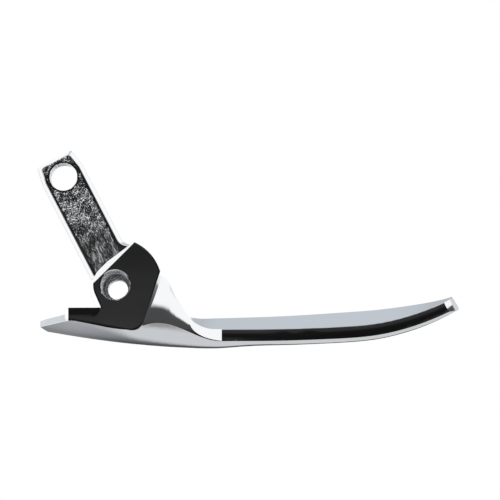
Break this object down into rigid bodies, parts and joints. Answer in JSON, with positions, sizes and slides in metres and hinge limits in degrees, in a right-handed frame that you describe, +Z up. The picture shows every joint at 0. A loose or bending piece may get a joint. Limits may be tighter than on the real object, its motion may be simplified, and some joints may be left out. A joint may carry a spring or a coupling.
{
  "type": "car inside door release lever",
  "caption": "Chromed cast release lever for a car door's inside handle: long canted paddle, pivot boss with a stepped bore, stop foot and a rough-cast arm with a rod hole.",
  "frame": {"origin": "on the pivot axis, at the middle of the boss's depth", "axes": "-Y out of the pivot bore's wide mouth, +X along the paddle from the pivot to the tip, +Z up, away from the side of the paddle that faces the cabin"},
  "size_m": [0.1204, 0.0207, 0.0571],
  "materials": {
    "chrome_plate": "bright polished chrome plate, left rough as cast on the faces of the arm and in the bores"
  },
  "bodies": {
    "root": {"release_lever": "chrome_plate"}
  },
  "joints": []
}
